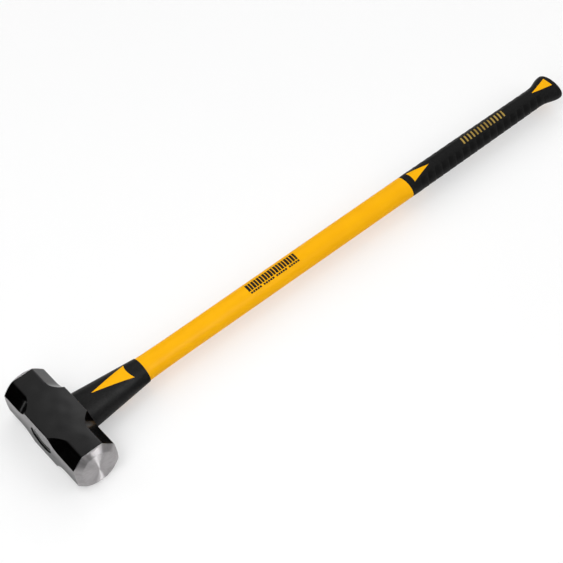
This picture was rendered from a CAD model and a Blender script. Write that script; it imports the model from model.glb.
"""Looks for the sledgehammer: materials, ribbed grip, print, floor, lights and camera.

Metres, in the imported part's frame: +X along the handle from the head to the butt, Y along the
head from one striking face to the other, +Z up out of the upper cheek.
"""

import math

import bpy
from mathutils import Matrix, Vector


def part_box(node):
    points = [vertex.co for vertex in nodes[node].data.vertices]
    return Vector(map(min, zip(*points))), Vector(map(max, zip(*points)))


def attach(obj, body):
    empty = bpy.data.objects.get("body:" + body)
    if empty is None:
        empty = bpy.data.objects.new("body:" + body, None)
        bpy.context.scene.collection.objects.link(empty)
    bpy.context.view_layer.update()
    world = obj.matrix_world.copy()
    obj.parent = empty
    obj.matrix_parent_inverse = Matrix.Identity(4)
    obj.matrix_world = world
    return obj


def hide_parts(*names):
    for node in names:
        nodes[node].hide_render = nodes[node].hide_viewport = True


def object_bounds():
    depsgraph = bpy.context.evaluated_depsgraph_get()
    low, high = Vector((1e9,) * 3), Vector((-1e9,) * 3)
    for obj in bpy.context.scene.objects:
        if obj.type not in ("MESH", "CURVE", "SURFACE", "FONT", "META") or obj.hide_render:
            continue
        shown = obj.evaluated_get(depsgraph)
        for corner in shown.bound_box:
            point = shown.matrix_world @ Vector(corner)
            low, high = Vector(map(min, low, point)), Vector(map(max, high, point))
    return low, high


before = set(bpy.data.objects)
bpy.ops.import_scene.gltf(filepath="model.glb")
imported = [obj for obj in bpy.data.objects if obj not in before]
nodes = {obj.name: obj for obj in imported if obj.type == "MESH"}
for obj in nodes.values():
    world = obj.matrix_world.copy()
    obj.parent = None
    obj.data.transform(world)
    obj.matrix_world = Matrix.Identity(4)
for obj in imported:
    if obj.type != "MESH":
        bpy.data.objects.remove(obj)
cad_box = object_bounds()

MM = 0.001
AXIS_Z = (cad_box[0].z + cad_box[1].z) / 2  # height of the handle's axis
HEAD_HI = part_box("hammer_head")[1]
HALF_HEAD = HEAD_HI.x
HALF_LENGTH = HEAD_HI.y
GRIP_LO, GRIP_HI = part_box("grip_sleeve")
EYE_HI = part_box("eye_epoxy")[1]
EYE_HALF_LENGTH = EYE_HI.y
EYE_HALF_WIDTH = EYE_HI.z - AXIS_Z
OVAL = 0.803  # a handle section's height over its width
SHAFT_WIDTH = 17.95 * MM  # half width of the shaft's even part


# ---------------------------------------------------------------- node graphs
class Graph:
    """A few shorthands for building the nodes of a material or of the world."""

    def __init__(self, owner):
        owner.use_nodes = True
        self.owner = owner
        self.tree = owner.node_tree
        self.tree.nodes.clear()
        self.coordinates = self.node("ShaderNodeTexCoord").outputs

    def feed(self, socket, value):
        if isinstance(value, bpy.types.NodeSocket):
            self.tree.links.new(value, socket)
        else:
            socket.default_value = value

    def node(self, kind, settings=None, **inputs):
        """A node whose inputs are given by name, with _ for each space."""
        made = self.tree.nodes.new(kind)
        for key, value in (settings or {}).items():
            setattr(made, key, value)
        for key, value in inputs.items():
            self.feed(made.inputs[key.replace("_", " ")], value)
        return made

    def row(self, kind, settings, values):
        """A node whose first inputs are given in order."""
        made = self.node(kind, settings)
        for socket, value in zip(made.inputs, values):
            self.feed(socket, value)
        return made

    def math(self, operation, *values):
        return self.row("ShaderNodeMath", {"operation": operation}, values).outputs[0]

    def hypot(self, one, other):
        squares = [self.math("MULTIPLY", side, side) for side in (one, other)]
        return self.math("SQRT", self.math("ADD", *squares))

    def ramp(self, value, low, high, to_low=0.0, to_high=1.0):
        """Maps value from low..high to to_low..to_high, eased and clamped."""
        return self.node(
            "ShaderNodeMapRange",
            {"interpolation_type": "SMOOTHSTEP"},
            Value=value,
            From_Min=low,
            From_Max=high,
            To_Min=to_low,
            To_Max=to_high,
        ).outputs["Result"]

    def blend(self, share, low, high):
        """Colour between low and high."""
        made = self.node("ShaderNodeMix", {"data_type": "RGBA"})
        for number, value in ((0, share), (6, low), (7, high)):  # the colour sockets are 6 and 7
            self.feed(made.inputs[number], value)
        return made.outputs[2]

    def mix(self, share, low, high):
        """Shader between low and high."""
        return self.row("ShaderNodeMixShader", None, (share, low, high)).outputs[0]

    def camera_sees(self):
        """1 where the camera sees directly, else 0."""
        return self.node("ShaderNodeLightPath").outputs["Is Camera Ray"]


class MaterialGraph(Graph):
    """Nodes of one material, over the piece's own coordinates, which are the frame's."""

    def __init__(self, name):
        super().__init__(bpy.data.materials.new(name))
        self.place = self.coordinates["Object"]
        self.x, self.y, self.z = self.node("ShaderNodeSeparateXYZ", Vector=self.place).outputs

    def noise(self, size, detail=2.0, stretch=(1, 1, 1)):
        """Noise about 0.5 whose features are about size metres across."""
        scale = [s / size for s in stretch]
        scaled = self.node("ShaderNodeMapping", Vector=self.place, Scale=scale).outputs[0]
        return self.node(
            "ShaderNodeTexNoise", Vector=scaled, Scale=1.0, Detail=detail, Roughness=0.5
        ).outputs[0]

    def ragged(self, value, size, detail, depth):
        """The value, made uneven by noise from 0 to depth."""
        return self.math("MULTIPLY_ADD", self.noise(size, detail), depth, value)

    def bump(self, height, depth, strength, under=None):
        """Bump of a 0..1 height that stands for depth metres, over another where one is given."""
        made = self.node("ShaderNodeBump", Strength=strength, Distance=depth, Height=height)
        if under is not None:
            self.feed(made.inputs["Normal"], under)
        return made.outputs[0]

    def shader(self, **inputs):
        return self.node("ShaderNodeBsdfPrincipled", **inputs).outputs[0]

    def finish(self, shader):
        self.node("ShaderNodeOutputMaterial", Surface=shader)
        return self.owner


def paint(names, material):
    for name in names:
        mesh = nodes[name].data
        mesh.materials.clear()
        mesh.materials.append(material)


def grey(value):
    return (value, value, value, 1.0)


# ---------------------------------------------------------------- materials
BARE_END = (80.6 * MM, 80.9 * MM)  # where the paint stops, from the head's middle along Y
BARE_TOP = (0.14 * MM, 0.08 * MM)  # where the paint stops, under the top face
RING_PITCH, FINE_RING_PITCH = 0.55 * MM, 0.23 * MM  # turning marks on the striking ends
RING_CENTRE = 0.5 * MM  # within this radius the spokes fade
SPOKE_TWIST = 12.0  # how fast the spokes change outwards
BEVEL = (23 * MM, 27 * MM)  # radius where the bevel starts, and where it is fully rougher
TOP_LIGHT = (-8 * MM, 20 * MM)  # the top face grows paler between these heights from its middle

YELLOW = (0.93, 0.450, 0.0015, 1)
YELLOW_DEEP = (0.91, 0.428, 0.0015, 1)
GOLD = (0.44, 0.30, 0.075, 1)
GOLD_DEEP = (0.31, 0.20, 0.045, 1)
FIBRE = (0.78, 0.72, 0.5, 1)
FIBRE_DEEP = (0.7, 0.62, 0.42, 1)


def turned_steel(g, up):
    """Steel of the striking ends: turning marks that draw the light out into a thin streak."""
    radius = g.hypot(g.x, up)
    rings, fine_rings = (
        g.math("SINE", g.math("MULTIPLY", radius, 2 * math.pi / pitch))
        for pitch in (RING_PITCH, FINE_RING_PITCH)
    )
    turned = g.math("MULTIPLY_ADD", fine_rings, 0.5, rings)
    tangent = g.node("ShaderNodeTangent", {"direction_type": "RADIAL", "axis": "Y"}).outputs[0]
    inward = g.math("DIVIDE", 1.0, g.math("MAXIMUM", radius, RING_CENTRE))
    spoke = g.node(
        "ShaderNodeCombineXYZ",
        X=g.math("MULTIPLY", g.x, inward),
        Y=g.math("MULTIPLY", radius, SPOKE_TWIST),
        Z=g.math("MULTIPLY", up, inward),
    ).outputs[0]
    spokes = g.node(
        "ShaderNodeTexNoise", Vector=spoke, Scale=8.0, Detail=4.0, Roughness=0.65
    ).outputs[0]
    even_rough = g.ramp(spokes, 0.3, 0.7, 0.43, 0.38)
    tone = g.ramp(spokes, 0.25, 0.75)
    return g.shader(
        Base_Color=g.blend(tone, (0.37, 0.357, 0.362, 1), (0.455, 0.44, 0.445, 1)),
        Metallic=1.0,
        Roughness=g.math("ADD", even_rough, g.ramp(radius, *BEVEL, 0.0, 0.06)),
        Anisotropic=1.0,
        Anisotropic_Rotation=0.25,
        Tangent=tangent,
        Normal=g.bump(turned, 0.004 * MM, 0.5),
    )


def ground_steel(g, up):
    """Steel of the top face, scratched along the head and darker low down."""
    scratches = g.noise(0.7 * MM, 4, stretch=(1, 0.06, 1))
    tone = g.ramp(g.ragged(up, 3 * MM, 3, 8 * MM), *TOP_LIGHT)
    return g.shader(
        Base_Color=g.blend(tone, grey(0.13), (0.31, 0.30, 0.305, 1)),
        Metallic=1.0,
        Roughness=g.ramp(scratches, 0.3, 0.7, 0.32, 0.48),
        Normal=g.bump(scratches, 0.02 * MM, 0.5),
    )


def black_paint(g):
    """Glossy black paint over an uneven forging."""
    mottle = g.noise(16 * MM, 4)
    grain = g.bump(g.noise(0.5 * MM, 3), 0.005 * MM, 0.3)
    peel = g.bump(g.noise(1.6 * MM, 2), 0.01 * MM, 0.4, grain)
    return g.shader(
        Base_Color=g.blend(mottle, (0.0002, 0.0002, 0.0003, 1), (0.0010, 0.0008, 0.0008, 1)),
        Roughness=g.ramp(mottle, 0.3, 0.7, 0.12, 0.18),
        Normal=g.bump(g.noise(38 * MM, 1), 0.7 * MM, 1.0, peel),
    )


def head_material():
    """Black paint, with the top face and the striking ends ground bare."""
    g = MaterialGraph("head_black_paint_and_steel")
    up = g.math("SUBTRACT", g.z, AXIS_Z)
    along = g.math("ABSOLUTE", g.y)
    bare_end = g.ramp(g.ragged(along, 5 * MM, 3, 0.9 * MM), *BARE_END)
    top_edge = [-HALF_HEAD + depth for depth in BARE_TOP]
    bare_top = g.ramp(g.ragged(g.x, 4 * MM, 3, 0.08 * MM), *top_edge)
    bare = g.math("MAXIMUM", bare_end, bare_top)
    steel = g.mix(bare_end, ground_steel(g, up), turned_steel(g, up))
    return g.finish(g.mix(bare, black_paint(g), steel))


def plastic(name, colour, deep, roughness):
    """Moulded plastic: slight colour drift, fine peel and long flow lines."""
    g = MaterialGraph(name)
    drift = g.ramp(g.noise(30 * MM, 3), 0.3, 0.7)
    rub = g.noise(6 * MM, 4)
    peel = g.bump(g.noise(0.8 * MM, 2), 0.012 * MM, 0.5)
    flow = g.noise(2.2 * MM, 3, stretch=(0.05, 1, 1))
    return g.finish(
        g.shader(
            Base_Color=g.blend(drift, deep, colour),
            Roughness=g.ramp(rub, 0.3, 0.7, roughness - 0.05, roughness + 0.07),
            IOR=1.25,
            Specular_IOR_Level=0.2,
            Normal=g.bump(flow, 0.03 * MM, 0.4, peel),
        )
    )


def rubber(name, ribbed=False):
    """Moulded black rubber with a fine matt grain; ribs are paler on top and darker below."""
    g = MaterialGraph(name)
    dust = g.ramp(g.noise(2.5 * MM, 5), 0.3, 0.8, 0.2, 0.7)
    if ribbed:
        wear = g.node("ShaderNodeAttribute", {"attribute_name": "wear"}).outputs["Fac"]
        dust = g.math("MULTIPLY_ADD", wear, 1.1, dust)
    return g.finish(
        g.shader(
            Base_Color=g.blend(dust, grey(0.006), grey(0.016)),
            Roughness=g.ramp(g.noise(14 * MM, 4), 0.3, 0.7, 0.40, 0.50),
            IOR=1.2,
            Normal=g.bump(g.noise(0.45 * MM, 3), 0.03 * MM, 0.6),
        )
    )


def resin():
    """Grey cast resin, with a dark rim of dirt and shadow that is widest low in the eye."""
    g = MaterialGraph("eye_resin_grey")
    across = g.math("DIVIDE", g.math("SUBTRACT", g.z, AXIS_Z), EYE_HALF_WIDTH)
    along = g.math("DIVIDE", g.y, EYE_HALF_LENGTH)
    outwards = g.hypot(across, along)  # 1 on the eye's edge
    leaning = g.math("MULTIPLY_ADD", across, -0.16, outwards)
    rim = g.ramp(g.ragged(leaning, 2.5 * MM, 3, 0.12), 0.86, 1.08)
    cast = g.blend(g.noise(6 * MM, 4), grey(0.30), grey(0.42))
    pits = g.noise(0.9 * MM, 3)
    return g.finish(
        g.shader(
            Base_Color=g.blend(rim, cast, grey(0.035)),
            Roughness=g.ramp(pits, 0.3, 0.7, 0.38, 0.6),
            Normal=g.bump(pits, 0.08 * MM, 0.6),
        )
    )


def ink():
    """Thin black print whose tone is slightly broken."""
    g = MaterialGraph("print_ink_black")
    thin = g.noise(1.2 * MM, 4)
    tone = g.ramp(thin, 0.4, 0.8)
    return g.finish(
        g.shader(
            Base_Color=g.blend(tone, (0.008, 0.006, 0.005, 1), (0.03, 0.018, 0.006, 1)),
            Roughness=g.ramp(thin, 0.3, 0.7, 0.4, 0.5),
            Specular_IOR_Level=0.2,
            Normal=g.bump(thin, 0.01 * MM, 0.4),
        )
    )


inlay_material = plastic("inlay_yellow_plastic", YELLOW, YELLOW_DEEP, 0.5)
mark_material = plastic("mark_gold_plastic", GOLD, GOLD_DEEP, 0.5)
paint(["hammer_head"], head_material())
paint(["shaft_jacket"], plastic("jacket_yellow_plastic", YELLOW, YELLOW_DEEP, 0.42))
paint(["overstrike_collar", "grip_sleeve", "eye_dam"], rubber("black_rubber"))
paint(["core_rod"], plastic("inner_fibre", FIBRE, FIBRE_DEEP, 0.5))
paint(["eye_epoxy"], resin())
paint([name for name in nodes if "arrow" in name], inlay_material)
paint([name for name in nodes if "mark" in name], mark_material)


# ---------------------------------------------------------------- meshes
def add_mesh(name, points, faces, material):
    """An object with a new mesh, linked to the scene."""
    mesh = bpy.data.meshes.new(name)
    mesh.from_pydata(points, [], faces)
    mesh.update()
    mesh.materials.append(material)
    item = bpy.data.objects.new(name, mesh)
    bpy.context.scene.collection.objects.link(item)
    return item


def smooth_step(value, low, high):
    share = min(1.0, max(0.0, (value - low) / (high - low)))
    return share * share * (3 - 2 * share)


# ---------------------------------------------------------------- grip
GRIP_TAPER = 1.35 * MM  # how much the half width eases towards the neck
TAPER_POWER = 1.5
GRIP_SWELL = 0.45 * MM  # how much the narrow sides stand out past the mouth
SWELL_RUN = 15 * MM  # how far from the mouth the swell is complete
FLARE_START = 840.0 * MM
FLARE_RISE = (850.0 * MM, 877.5 * MM)
FLARE_WIDTH = 7.7 * MM
FLARE_HEIGHT = 1.6 * MM
BUTT_ROUND = 5.0 * MM  # radius of the butt's edge
BUTT_STEPS = 10  # rings round that edge
BUTT_RINGS = (0.9, 0.7, 0.4)  # rings across the butt's end, as shares of its outline
CORE_WIDTH, CORE_HEIGHT = 14.6 * MM, 11.4 * MM  # half sizes of the jacket inside the sleeve
CORE_END = 874.0 * MM
SKIN_SINK = 0.14 * MM  # leaves the yellow inlays just proud
PANEL_EDGE = math.radians(25)  # the ribbed panels start this far round from the top and bottom
PANEL_SLOPE = math.radians(1.5)
PANEL_DEPTH = 0.08 * MM
RIB_EDGE = (math.radians(2), math.radians(12))  # where the ribs rise, from the panel's edge
RIB_PITCH = 13.35 * MM
RIB_FIRST = 623.7 * MM
RIB_DEPTH = 0.38 * MM
RIB_STEEP = 0.14  # share of the pitch taken by a rib's steep side
RIB_POWER = 1.3  # curve of its long side
RIB_BOW = 5.3 * MM  # how far a rib's ends lie nearer the butt than its middle
BOW_SPAN = math.radians(60)  # angle from the side over which it bows by that much
RIB_FIELD = (606.0 * MM, 858.0 * MM)
FIELD_FADE = (18 * MM, 14 * MM)  # how far in from each end the ribs and panels are complete
CREST_SHARE = 0.07  # share of the pitch that is rubbed, each side of a crest
CREST_WEAR = 0.35
AROUND = 192  # points in a ring
ALONG = 0.6 * MM  # between rings


def grip_oval(x):
    """Half width and half height of the grip at a station."""
    share = min(1.0, max(0.0, (x - GRIP_LO.x) / (FLARE_START - GRIP_LO.x)))
    width = SHAFT_WIDTH - share**TAPER_POWER * GRIP_TAPER
    lift = smooth_step(x, *FLARE_RISE)
    corner = x - (GRIP_HI.x - BUTT_ROUND)
    inset = 0.0
    if corner > 0:
        inset = BUTT_ROUND - math.sqrt(max(0.0, BUTT_ROUND**2 - corner**2))
    swell = GRIP_SWELL * smooth_step(x, GRIP_LO.x, GRIP_LO.x + SWELL_RUN) * (1 - lift)
    return width + swell + lift * FLARE_WIDTH - inset, width * OVAL + lift * FLARE_HEIGHT - inset


def rib_relief(x, turn):
    """Depth below the skin at an angle from the top, and wear: -1 in a foot, above 0 on a crest."""
    fold = abs(math.remainder(turn, math.pi))  # 0 on the top and bottom lines, pi/2 on the sides
    panel = smooth_step(fold, PANEL_EDGE, PANEL_EDGE + PANEL_SLOPE)
    ends = smooth_step(x, RIB_FIELD[0], RIB_FIELD[0] + FIELD_FADE[0])
    ends *= 1 - smooth_step(x, RIB_FIELD[1] - FIELD_FADE[1], RIB_FIELD[1])
    ribs = smooth_step(fold, PANEL_EDGE + RIB_EDGE[0], PANEL_EDGE + RIB_EDGE[1]) * ends
    bow = RIB_BOW * ((math.pi / 2 - fold) / BOW_SPAN) ** 2
    phase = ((x - bow - RIB_FIRST) / RIB_PITCH) % 1.0
    if phase < RIB_STEEP:
        fall = smooth_step(phase, 0, RIB_STEEP)
    else:
        fall = 1 - ((phase - RIB_STEEP) / (1 - RIB_STEEP)) ** RIB_POWER
    crest = max(0.0, 1 - min(phase, 1 - phase) / CREST_SHARE)
    wear = (CREST_WEAR * crest - fall**2) * ribs
    return PANEL_DEPTH * panel * ends + RIB_DEPTH * ribs * fall, wear


def oval_ring(x, width, height, relief=False):
    """Points round the handle at a station, from the top towards -Y, with the wear of each."""
    points, wears = [], []
    for number in range(AROUND):
        turn = 2 * math.pi * number / AROUND
        deep, wear = rib_relief(x, turn) if relief else (0.0, 0.0)
        sink = SKIN_SINK + deep if relief else 0.0
        y = -(width - sink) * math.sin(turn)
        points.append((x, y, AXIS_Z + (height - sink) * math.cos(turn)))
        wears.append(wear)
    return points, wears


def tube_faces(rings):
    """Faces between rings of AROUND points, closed by two last points: the first end's, then
    the other end's."""
    faces = []
    for low in range(0, (rings - 1) * AROUND, AROUND):
        for side in range(AROUND):
            beside = (side + 1) % AROUND
            faces.append((low + side, low + beside, low + AROUND + beside, low + AROUND + side))
    first_tip = rings * AROUND
    last_ring = first_tip - AROUND
    for side in range(AROUND):
        faces.append((first_tip, (side + 1) % AROUND, side))
    for side in range(AROUND):
        faces.append((first_tip + 1, last_ring + side, last_ring + (side + 1) % AROUND))
    return faces


def make_grip():
    """The rubber sleeve: ribbed skin outside, the jacket's core inside, closed round butt."""
    # inside, from the blind end back to the mouth
    rings = [oval_ring(x, CORE_WIDTH, CORE_HEIGHT) for x in (CORE_END, GRIP_LO.x)]
    # outside, from the mouth to the butt
    start, stop = GRIP_LO.x, GRIP_HI.x - BUTT_ROUND
    steps = round((stop - start) / ALONG)
    stations = [start + (stop - start) * number / steps for number in range(steps + 1)]
    stations += [
        stop + BUTT_ROUND * math.sin(math.pi / 2 * number / BUTT_STEPS)
        for number in range(1, BUTT_STEPS + 1)
    ]
    rings += [oval_ring(x, *grip_oval(x), relief=True) for x in stations]
    width, height = grip_oval(GRIP_HI.x)
    rings += [oval_ring(GRIP_HI.x, width * share, height * share) for share in BUTT_RINGS]

    points = [point for ring, _ in rings for point in ring]
    points += [(CORE_END, 0, AXIS_Z), (GRIP_HI.x, 0, AXIS_Z)]
    wears = [wear for _, row in rings for wear in row] + [0.0, 0.0]
    material = rubber("grip_rubber_ribbed", ribbed=True)
    item = add_mesh("grip_ribbed", points, tube_faces(len(rings)), material)
    for face in item.data.polygons:
        face.use_smooth = True
    item.data.attributes.new("wear", "FLOAT", "POINT").data.foreach_set("value", wears)
    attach(item, "root")
    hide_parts("grip_sleeve")


make_grip()


# ---------------------------------------------------------------- print on the shaft
PRINT_START = 310.5 * MM
PRINT_PITCH = 9.6 * MM
PRINT_BLOCKS = 9
PRINT_BARS = ((0.0, 0.40), (0.52, 0.86))  # start and end of a block's two bars, over the pitch
PRINT_ROW = (-5.2 * MM, 7.8 * MM)  # across the handle, in Y
PRINT_LEAN = 0.8 * MM
LINE_ROW = (-9.1 * MM, -6.5 * MM)
LINE_STARTS = (311.5 * MM, 333.5 * MM, 355.5 * MM, 377.5 * MM)
LINE_DASHES = 5  # from each start
DASH_PITCH = 3.8 * MM
DASH_LENGTH = 3.0 * MM
INK_LIFT = 0.05 * MM  # how far a slab stands over the skin, and reaches under it
INK_COLUMNS = 6  # across a slab


def shaft_height(y):
    """Height of the shaft's skin over its axis at a distance across it."""
    return OVAL * math.sqrt(SHAFT_WIDTH**2 - y**2)


def ink_patch(points, faces, x_range, y_range, lean=0.0):
    """One printed block as a thin closed slab lying on the shaft."""
    first = len(points)
    for lift in (INK_LIFT, -INK_LIFT):
        for column in range(INK_COLUMNS + 1):
            y = y_range[0] + (y_range[1] - y_range[0]) * column / INK_COLUMNS
            shift = lean * column / INK_COLUMNS
            for x in x_range:
                points.append((x + shift, y, AXIS_Z + shaft_height(y) + lift))
    under = 2 * (INK_COLUMNS + 1)
    for column in range(INK_COLUMNS):
        a = first + 2 * column
        faces.append((a, a + 1, a + 3, a + 2))
        faces.append((a + under, a + under + 2, a + under + 3, a + under + 1))
        faces.append((a, a + 2, a + under + 2, a + under))
        faces.append((a + 1, a + under + 1, a + under + 3, a + 3))
    last = first + 2 * INK_COLUMNS
    faces.append((first, first + under, first + under + 1, first + 1))
    faces.append((last, last + 1, last + under + 1, last + under))


def make_print():
    """Plain bars over a thin broken line, in place of the maker's lettering."""
    points, faces = [], []
    for number in range(PRINT_BLOCKS):
        for bar in PRINT_BARS:
            x_range = [PRINT_START + (number + share) * PRINT_PITCH for share in bar]
            ink_patch(points, faces, x_range, PRINT_ROW, PRINT_LEAN)
    for start in LINE_STARTS:
        for number in range(LINE_DASHES):
            x = start + number * DASH_PITCH
            ink_patch(points, faces, (x, x + DASH_LENGTH), LINE_ROW)
    item = add_mesh("shaft_print", points, faces, ink())
    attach(item, "root")


make_print()


# ---------------------------------------------------------------- stage
PALE = 0.98  # the backdrop and the far floor where the camera sees them directly
FLOOR_REACH = 12.0
FLOOR_FADE = (1.3, 3.0)  # the floor melts into the backdrop between these distances
FLOOR_LIGHTEN = 0.4  # share of the backdrop's tone in the near floor, which softens the shadow
FLAGS = {  # corners of the black cards: one lying behind the head, one upright before the collar
    "flag_behind": (
        (-0.35, 0.13, 0.001),
        (0.02, 0.13, 0.001),
        (0.02, 0.9, 0.001),
        (-0.35, 0.9, 0.001),
    ),
    "flag_right": (
        (0.135, -0.16, 0.002),
        (0.135, -0.024, 0.002),
        (0.135, -0.024, 0.075),
        (0.135, -0.16, 0.075),
    ),
}
AMBIENT = 0.002
GLOWS = (  # direction, outer and inner angle in degrees, radiance: overhead and right, none left
    ((0.55, 0.10, 0.83), 68, 25, 0.42),
    ((0.19, 0.58, 0.79), 30, 10, 0.20),
    ((0.80, 0.48, 0.36), 15, 9, 1.2),
)
SCENE_MIDDLE = (0.25, 0, 0.03)  # what the soft lamps point at
LAMP_SIZE = 3.2
KEY = ((-0.30, -0.05, 0.95), 4.0, 54)  # direction, distance, watts
FILL_RISE, FILL_DISTANCE = 0.8, 3.5
FILLS = ((35, 29), (125, 29), (215, 42), (305, 42))  # azimuth in degrees, watts
CHEEK_CARD = ((0.325, 0.325, 0.446), 0.64, 0.42, 0.30)  # direction, distance, size, watts
COLLAR_CARD = ((0.42, -0.54, 0.68), 0.5, 0.3, 1.6)
COLLAR_TOP = (0.08, -0.012, 0.045)
FACE_DISTANCE = 2.0
FACE_CARDS = (  # three in one place for a streak that is brightest in its middle, and a faint one
    ("face_card_rim", (0.20, -0.90, 0.39), 0.60, 3.5),
    ("face_card", (0.20, -0.90, 0.39), 0.32, 13.5),
    ("face_card_core", (0.20, -0.90, 0.39), 0.20, 9.0),
    ("face_card_side", (-0.25, -0.95, 0.20), 0.22, 3.0),
)
SENSOR = 36.0  # millimetres
LENS = 107.2294849  # millimetres
CLIP_END = 100
CAMERA_PLACE = (-417.877, -1260.743, 1741.150)  # millimetres from the head's centre
CAMERA_RIGHT = (0.7714947, -0.6273988, -0.1056724)
CAMERA_FORWARD = (0.3410679, 0.5480406, -0.7637566)


def add_card(name, corners, material):
    """A single flat face that belongs to the stage."""
    item = add_mesh(name, corners, [(0, 1, 2, 3)], material)
    return item


def make_floor():
    """Pale floor, lit near the hammer and melting into the backdrop far from it."""
    g = MaterialGraph("floor_pale")
    wash = g.noise(0.4, 3)
    near = g.shader(Base_Color=g.blend(wash, grey(0.94), grey(0.96)), Roughness=0.9)
    far = g.node("ShaderNodeEmission", Color=grey(PALE), Strength=1.0).outputs[0]
    fade = g.ramp(g.hypot(g.x, g.y), *FLOOR_FADE, FLOOR_LIGHTEN, 1.0)
    share = g.math("MULTIPLY", fade, g.camera_sees())
    signs = ((-1, -1), (1, -1), (1, 1), (-1, 1))
    corners = [(x * FLOOR_REACH, y * FLOOR_REACH, 0) for x, y in signs]
    add_card("floor", corners, g.finish(g.mix(share, near, far)))


def make_flag(name, corners):
    """Black card that only shows in reflections, as a studio flag held out of the picture."""
    g = MaterialGraph(f"{name}_black")
    felt = g.blend(g.noise(2 * MM, 2), grey(0.001), grey(0.002))
    item = add_card(name, corners, g.finish(g.shader(Base_Color=felt, Roughness=1.0)))
    item.visible_camera = item.visible_diffuse = item.visible_shadow = False


def make_sky():
    """Dim studio round the hammer, with broad soft glows, and pale where it is seen directly."""
    world = bpy.data.worlds.new("studio")
    bpy.context.scene.world = world
    g = Graph(world)
    towards = g.coordinates["Generated"]
    total = AMBIENT
    for direction, outer, inner, radiance in GLOWS:
        pair = (towards, Vector(direction).normalized())
        near = g.row("ShaderNodeVectorMath", {"operation": "DOT_PRODUCT"}, pair).outputs["Value"]
        edges = [math.cos(math.radians(angle)) for angle in (outer, inner)]
        total = g.math("ADD", g.ramp(near, *edges, 0.0, radiance), total)
    dim, pale = (
        g.node("ShaderNodeBackground", Strength=strength).outputs[0] for strength in (total, PALE)
    )
    g.node("ShaderNodeOutputWorld", Surface=g.mix(g.camera_sees(), dim, pale))


def add_light(name, target, direction, distance, size, power, card=False):
    """Round light seen from the target along a direction: a soft lamp, which never shows in
    gloss, or a card, which only shows there."""
    data = bpy.data.lights.new(name, "AREA")
    data.shape = "DISK"
    data.size = size
    data.energy = power
    item = bpy.data.objects.new(name, data)
    item.visible_glossy = card
    item.visible_diffuse = not card
    away = Vector(direction).normalized()
    item.location = Vector(target) + away * distance
    item.rotation_euler = away.to_track_quat("Z", "Y").to_euler()
    bpy.context.scene.collection.objects.link(item)
    return item


def only_lights(item, name):
    """Keeps a light off everything but one node."""
    group = bpy.data.collections.new(f"lit_by_{item.name}")
    group.objects.link(nodes[name])
    item.light_linking.receiver_collection = group


def make_lights():
    """Soft lamps all round, and cards for the cheek, the collar and the striking face."""
    direction, distance, power = KEY
    add_light("key", SCENE_MIDDLE, direction, distance, LAMP_SIZE, power)
    for azimuth, power in FILLS:
        turn = math.radians(azimuth)
        direction = (math.cos(turn), math.sin(turn), FILL_RISE)
        add_light(f"fill_{azimuth}", SCENE_MIDDLE, direction, FILL_DISTANCE, LAMP_SIZE, power)
    add_light("cheek_card", (0, 0, HEAD_HI.z), *CHEEK_CARD, card=True)
    add_light("collar_card", COLLAR_TOP, *COLLAR_CARD, card=True)
    face = (0, -HALF_LENGTH, AXIS_Z)
    for name, direction, size, power in FACE_CARDS:
        item = add_light(name, face, direction, FACE_DISTANCE, size, power, card=True)
        only_lights(item, "hammer_head")


def make_camera():
    """A long lens looking down on the hammer from beyond its striking face."""
    data = bpy.data.cameras.new("camera")
    data.sensor_width = SENSOR
    data.lens = LENS
    data.clip_end = CLIP_END
    right, forward = Vector(CAMERA_RIGHT).normalized(), Vector(CAMERA_FORWARD).normalized()
    up = right.cross(forward).normalized()
    right = forward.cross(up)
    turn = Matrix((right, up, -forward)).transposed().to_4x4()
    place = Vector(CAMERA_PLACE) * MM + Vector((0, 0, AXIS_Z))
    item = bpy.data.objects.new("camera", data)
    item.matrix_world = Matrix.Translation(place) @ turn
    bpy.context.scene.collection.objects.link(item)
    bpy.context.scene.camera = item


make_floor()
for name, corners in FLAGS.items():
    make_flag(name, corners)
make_sky()
make_lights()
make_camera()
bpy.context.scene.view_settings.view_transform = "Standard"
